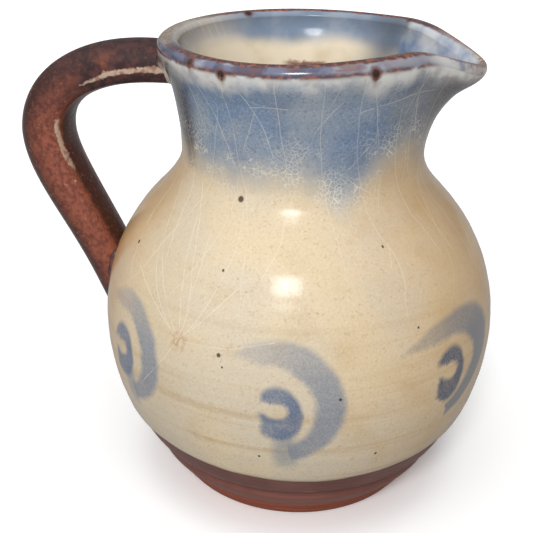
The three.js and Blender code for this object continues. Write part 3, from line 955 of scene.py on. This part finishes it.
# Painted shade: the inner wall beside the lip's fold is painted dark grey-blue near the rim.
inside_colour = paint(inside_colour, tone(96, 104, 118), spot(turn, 52.0, 14.0) * 0.75 * near_rim)
channel = rise(turn + (lumps - 0.5) * 10.0, 44.0, 34.0) * rise(turn, -46.0, -38.0) * near_rim
channel_colour = paint(tone(200, 202, 205), tone(100, 124, 158), rise(cloud + rim * -0.012, 0.42, 0.72))
inside_colour = paint(inside_colour, channel_colour, channel)
smear_aside = turn - SMEAR_TURN + (lumps - 0.5) * 8.0
smear_above = high - SMEAR_HEIGHT + (grain - 0.5) * 1.6 + (lumps - 0.5) * 3.0
smear = within(smear_aside, 15.0, 8.0) * within(smear_above, 1.7, 0.6)
inside_colour = paint(inside_colour, tone(116, 62, 44), smear * 0.9)
colour = paint(colour, inside_colour, inside)

# Rim bead: lilac where cobalt met iron, worn to beige by the handle and at the tip of the lip.
on_lip = rise(from_lip + (cloud - 0.5) * 14.0, 34.0, 22.0)
bead_cover = rise(rim, BEAD_WIDTH + 0.5, BEAD_WIDTH - 0.5) * (1 - inside)
drawn_out = noise(stretch(place, (70, 70, 420)), 1.0, 3.0)
lilac = paint(tone(72, 74, 98), tone(106, 111, 136), rise(lumps, 0.4, 0.62))
lilac = paint(lilac, tone(188, 189, 194), rise(cloud, 0.53, 0.64) * 0.7)
lilac = paint(lilac, tone(112, 68, 60), rise(drawn_out, 0.5, 0.62) * 0.8)
lilac = paint(lilac, tone(168, 168, 178), spot(turn, -38.0, 18.0) * 0.7)
lip_white = rise(lumps + 0.25 * spot(turn, -22.0, 6.0), 0.44, 0.62)
lip_glaze = paint(tone(128, 138, 158), tone(202, 201, 200), lip_white)
lilac = paint(lilac, lip_glaze, on_lip)
worn = rise(from_lip + (cloud - 0.5) * 20.0, 134.0, 158.0)
worn = worn * rise(rim + (lumps - 0.5) * 2.0, 3.4, 1.6)
worn = worn.maths("MAXIMUM", spot(turn + (lumps - 0.5) * 8.0, 0.0, 12.0))
beige = paint(tone(196, 180, 162), tone(134, 108, 94), rise(grain, 0.52, 0.68))
colour = paint(colour, paint(lilac, beige, worn), bead_cover)

# Iron breaking through: a line along the crest, one under the bead, and spots that ran a little.
far_side = rise(turn, 8.0, 30.0) * rise(turn, 170.0, 150.0)
from_crest = rim + (lumps - 0.5) * 2.2 + (grain - 0.5) * 1.2 + 0.9 * far_side
crest_line = rise(spot(from_crest, 0.6, 1.5), 0.25, 0.65) * rise(cloud, 0.28, 0.4)
crest_line = crest_line * (1 - 0.5 * on_lip * (1 - far_side))
crest_line = crest_line * (1 - 0.8 * spot(from_lip, 172.0, 26.0))
edge_line = spot(rim + (lumps - 0.5) * 1.5, BEAD_WIDTH, 0.6) * rise(lumps, 0.34, 0.48) * (1 - on_lip)
iron_line = crest_line.maths("MAXIMUM", edge_line * 0.85)
iron_brown = paint(tone(82, 44, 38), tone(150, 80, 50), rise(grain, 0.46, 0.62))
colour = paint(colour, iron_brown, iron_line * 0.95)
RIM_SPOTS = (
    (-125.0, 3.4), (-110.0, 5.0), (-55.0, 4.8), (129.5, -2.0), (42.0, -1.0), (74.0, 4.6),
    (160.0, 4.2),
)
for spot_angle, spot_rim in RIM_SPOTS:
    beside = (turn - spot_angle) * degree_length
    below = rim - spot_rim
    blot = length(beside, below) + (lumps - 0.5) * 1.6
    drip = spot(beside, 0.0, 0.8) * rise(below, -0.5, 1.0) * rise(below, 5.0, 1.5)
    colour = paint(colour, tone(112, 66, 50), (rise(blot, 2.4, 1.2) + drip * 0.6) * 0.8)
    colour = paint(colour, tone(52, 34, 32), rise(blot, 1.3, 0.7))

# Crazing: faint cracks all round, a fine net in the thin edge of the band, and long cracks that
# spread from one knock and cross the neck.
warp = surface.node("TexNoise", {}, {"Vector": place, "Scale": 45, "Detail": 1.0}, "Color")
bend = (0.012, 0.012, 0.012)
bent = surface.node("VectorMath", {"operation": "MULTIPLY_ADD"}, {0: warp, 1: bend, 2: place})
sweep = noise(place, 15, 1.0)


def rising_cracks(slant, spacing, start):
    """Long cracks up the wall, which lean aside by slant mm for each mm of height."""
    course = turn * 0.85 + high * slant + sweep * 34.0 + drift * 9.0
    return rise(from_line(course / spacing + start) * spacing, 0.2, 0.06)


def one_crack(turn_from, high_from, turn_to, high_to, bow):
    """One crack between two places on the wall, which bows aside by some degrees or mm."""
    across, up = (turn_to - turn_from) * BELLY_DEGREE * 0.8, high_to - high_from
    if abs(up) > abs(across):
        share = (high - high_from) / up
        off = turn - (turn_from + share * (turn_to - turn_from) + share * (1 - share) * (4 * bow))
        off = off * degree_length
    else:
        share = (turn - turn_from) / (turn_to - turn_from)
        off = high - (high_from + share * up + share * (1 - share) * (4 * bow))
    lean_in = max(abs(up), abs(across)) / math.hypot(up, across)
    off = (off + (cloud - 0.5) * 2.0) * lean_in
    return within(off, 0.2, 0.06) * within(share - 0.5, 0.52, 0.4)


above_bead = rise(rim, BEAD_WIDTH, BEAD_WIDTH + 2.0)
long_cracks = rising_cracks(0.1, 13.0, 3.0) * rise(drift, 0.4, 0.5)
long_cracks = long_cracks.maths("MAXIMUM", rising_cracks(-0.45, 24.0, 9.0) * rise(drift, 0.56, 0.5))
long_cracks = long_cracks * rise(high, 70.0, 96.0) * above_bead
net = crack_lines(bent, 680, 0.085) * rise(noise(place, 130, 3.0), 0.42, 0.6)
net = net * (spot(high - band_low, 3.5, 8.0) + 0.18 * band) * above_bead
STAR_TURN, STAR_HEIGHT = -113.6, 71.2
SMUDGE_TURN, SMUDGE_HEIGHT = -105.6, 40.3
STAR_CRACKS = (
    (-134.0, 97.0, -3.0), (-148.0, 110.0, 2.0), (-131.0, 113.0, 4.0), (-126.0, 106.0, 6.0),
    (-104.0, 109.0, 5.5), (-138.0, 85.0, 1.0), (-96.0, 90.0, 0.0), (-84.0, 77.0, -1.5),
    (-128.0, 50.0, 1.0),
)
NECK_CRACKS = (
    (-124.8, 143.3, -108.0, 116.0, 0.5), (-106.0, 144.0, -92.0, 122.0, 2.0),
    (-101.0, 137.6, -85.0, 138.2, 0.3), (-64.8, 140.5, -76.0, 130.5, 0.6),
    (-44.0, 144.5, -46.0, 137.5, 0.0), (-31.0, 144.5, -22.5, 122.0, -0.8),
    (-19.0, 140.2, -60.0, 136.0, 0.8), (-54.0, 144.0, -47.0, 123.0, 0.6),
    (-51.0, 126.0, -60.0, 119.5, 0.0),
)
star_cracks = [one_crack(STAR_TURN, STAR_HEIGHT, *reach) for reach in STAR_CRACKS]
cracked = strongest(star_cracks + [one_crack(*course) for course in NECK_CRACKS])
cracked = cracked * (0.3 + 0.28 * rise(lumps, 0.4, 0.58))
crazing = strongest([long_cracks * 0.4, net * 0.65, cracked])
star_far = length((turn - STAR_TURN) * BELLY_DEGREE, high - STAR_HEIGHT)
colour = paint(colour, tone(238, 230, 214), crazing * 0.8)
stain = spot(star_far, 0.0, 2.6) * rise(grain, 0.4, 0.6) * 0.8
smudge = spot((turn - SMUDGE_TURN) * degree_length, 0.0, 4.5) * spot(high - SMUDGE_HEIGHT, 0.0, 1.4)
stain = stain + smudge * rise(lumps, 0.4, 0.6) * 0.6
colour = paint(colour, tone(172, 122, 74), stain * 0.8)

# Iron specks in the coat.
SPECKS = (
    (-106.0, 108.9, 1.0), (-144.7, 89.0, 0.6), (-100.5, 70.3, 0.7), (-99.3, 67.0, 0.35),
    (-89.4, 37.8, 0.45), (-56.7, 37.2, 0.5), (-45.3, 76.5, 0.4), (-68.5, 59.6, 0.5),
    (-50.4, 97.7, 0.4), (-103.9, 91.8, 0.4),
)
specks = strongest(
    [rise(distance_to(at, height), radius * 1.2, radius * 0.6) for at, height, radius in SPECKS]
)
scatter = surface.node("TexVoronoi", {"feature": "F1"}, {"Vector": place, "Scale": 75}, "Distance")
chosen = surface.node("SeparateColor", {}, {"Color": scatter.output("Color")}, 0)
small_specks = rise(scatter, 0.035, 0.02) * rise(chosen, 0.8, 0.85)
colour = paint(colour, tone(146, 94, 52), small_specks * 0.8)
colour = paint(colour, tone(62, 42, 32), specks * 0.9)

# The hem: thin and toasted where the coat ends.
colour = paint(colour, tone(168, 132, 92), rise(hem + (lumps - 0.5) * 2.0, 2.6, 0.2) * 0.7)

glaze_roughness = 0.13 + 0.12 * grain + 0.25 * crazing
relief = 0.35 * lumps + 0.12 * grain - 0.5 * specks - 0.15 * crazing
glaze_bump = bump(relief, 0.2, 0.0006)
fire(
    coat, glaze, surface,
    Base_Color=colour, Roughness=glaze_roughness, Specular_IOR_Level=0.26, Normal=glaze_bump,
    Coat_Weight=bead_cover * 0.9, Coat_Roughness=0.16,
)
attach(coat, "root")
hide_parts("glaze_coat")


# The studio: white paper under one round softbox, which stands high in front and a little to the
# left of the camera, with soft white light from all round. The camera looks down over the rim.
# Sizes here are in metres.

FLOOR_HALF = 4.0
FLOOR_GAP = 0.0002
CONTACT_SHADE_FROM = 0.046
CONTACT_SHADE_TO = 0.063
MIRRORED_SHARE = 0.15


def seen_rays(surface):
    """1 for rays from the camera, and a share for those that a shiny or clear surface sends on."""
    seen = surface.node("LightPath", {}, {}, "Is Camera Ray")
    mirrored = seen.output("Is Glossy Ray") + seen.output("Is Transmission Ray")
    return seen.maths("MAXIMUM", mirrored * MIRRORED_SHARE)


floor_mesh = bpy.data.meshes.new("paper_floor")
corners = [(-1, -1), (1, -1), (1, 1), (-1, 1)]
floor_points = [(x * FLOOR_HALF, y * FLOOR_HALF, -FLOOR_GAP) for x, y in corners]
floor_mesh.from_pydata(floor_points, [], [(0, 1, 2, 3)])
floor = bpy.data.objects.new("paper_floor", floor_mesh)
bpy.context.scene.collection.objects.link(floor)
paper, surface = start_finish("white_paper")
seen = seen_rays(surface)
floor_place = surface.node("TexCoord", {}, {}, "Object")
far = surface.node("SeparateXYZ", {}, {"Vector": floor_place}, "Y")
from_foot = surface.node("VectorMath", {"operation": "LENGTH"}, {0: floor_place}, "Value")
# Painted shadow: near the foot the paper's glow is lower and a little warm, as a contact shadow.
out_of_shade = rise(from_foot, CONTACT_SHADE_FROM, CONTACT_SHADE_TO)
lift = paint((0.08, 0.07, 0.065, 1), (0.22, 0.22, 0.22, 1), out_of_shade)
lift = paint(lift, (0.5, 0.5, 0.5, 1), rise(far, 0.05, 0.7))
lift = paint((0, 0, 0, 1), lift, seen)
paper_colour = paint((0.36, 0.36, 0.36, 1), (0.98, 0.98, 0.98, 1), seen)
fire(
    floor, paper, surface,
    Base_Color=paper_colour, Roughness=0.9, Emission_Color=lift, Emission_Strength=1.0,
)

world = bpy.data.worlds.new("soft_white_room")
bpy.context.scene.world = world
world.use_nodes = True
world.node_tree.nodes.clear()
room = Finish(world.node_tree)
look = room.node("TexCoord", {}, {}, "Generated")
bright_side = (-0.1, -0.52, 0.85)
ahead_of = room.node("VectorMath", {"operation": "DOT_PRODUCT"}, {0: look, 1: bright_side}, "Value")
room_light = paint((0.05, 0.05, 0.05, 1), (1.1, 1.1, 1.1, 1), rise(ahead_of, -0.05, 1.0))
room_light = paint(room_light, (1, 1, 1, 1), seen_rays(room))
backdrop = room.node("Background", {}, {"Color": room_light, "Strength": 1.0})
room.node("OutputWorld", {}, {"Surface": backdrop})

SOFTBOX_AZIMUTH = math.radians(-89)
SOFTBOX_HEIGHT_ANGLE = math.radians(41)
SOFTBOX_DISTANCE = 3.0
SOFTBOX_SIZE = 0.74
SOFTBOX_WATTS = 38.0
aim = Vector((0, 0, 0.07))
towards = Vector(
    (
        math.cos(SOFTBOX_AZIMUTH) * math.cos(SOFTBOX_HEIGHT_ANGLE),
        math.sin(SOFTBOX_AZIMUTH) * math.cos(SOFTBOX_HEIGHT_ANGLE),
        math.sin(SOFTBOX_HEIGHT_ANGLE),
    )
)
lamp = bpy.data.lights.new("softbox", "AREA")
lamp.shape = "DISK"
lamp.size = SOFTBOX_SIZE
lamp.energy = SOFTBOX_WATTS
softbox = bpy.data.objects.new("softbox", lamp)
softbox.location = aim + SOFTBOX_DISTANCE * towards
softbox.rotation_euler = towards.to_track_quat("Z", "Y").to_euler()
bpy.context.scene.collection.objects.link(softbox)

CAMERA_PLACE = Vector((0.05209, -0.29544, 0.21266))
CAMERA_LENS = 65.88
CAMERA_HEADING = 0.21141
CAMERA_PITCH = 0.44114
CAMERA_ROLL = 0.01418
view_lens = bpy.data.cameras.new("photo_camera")
view_lens.sensor_width = 36
view_lens.lens = CAMERA_LENS
view_lens.clip_start = 0.01
camera = bpy.data.objects.new("photo_camera", view_lens)
heading = Matrix.Rotation(CAMERA_HEADING, 3, "Z")
ahead = heading @ Vector((0, math.cos(CAMERA_PITCH), -math.sin(CAMERA_PITCH)))
right = heading @ Vector((1, 0, 0))
upward = right.cross(ahead)
tilted_right = right * math.cos(CAMERA_ROLL) + upward * math.sin(CAMERA_ROLL)
tilted_up = upward * math.cos(CAMERA_ROLL) - right * math.sin(CAMERA_ROLL)
stand = Matrix((tilted_right, tilted_up, -ahead)).transposed().to_4x4()
stand.translation = CAMERA_PLACE
camera.matrix_world = stand
bpy.context.scene.collection.objects.link(camera)
bpy.context.scene.camera = camera

bpy.context.scene.view_settings.view_transform = "Standard"
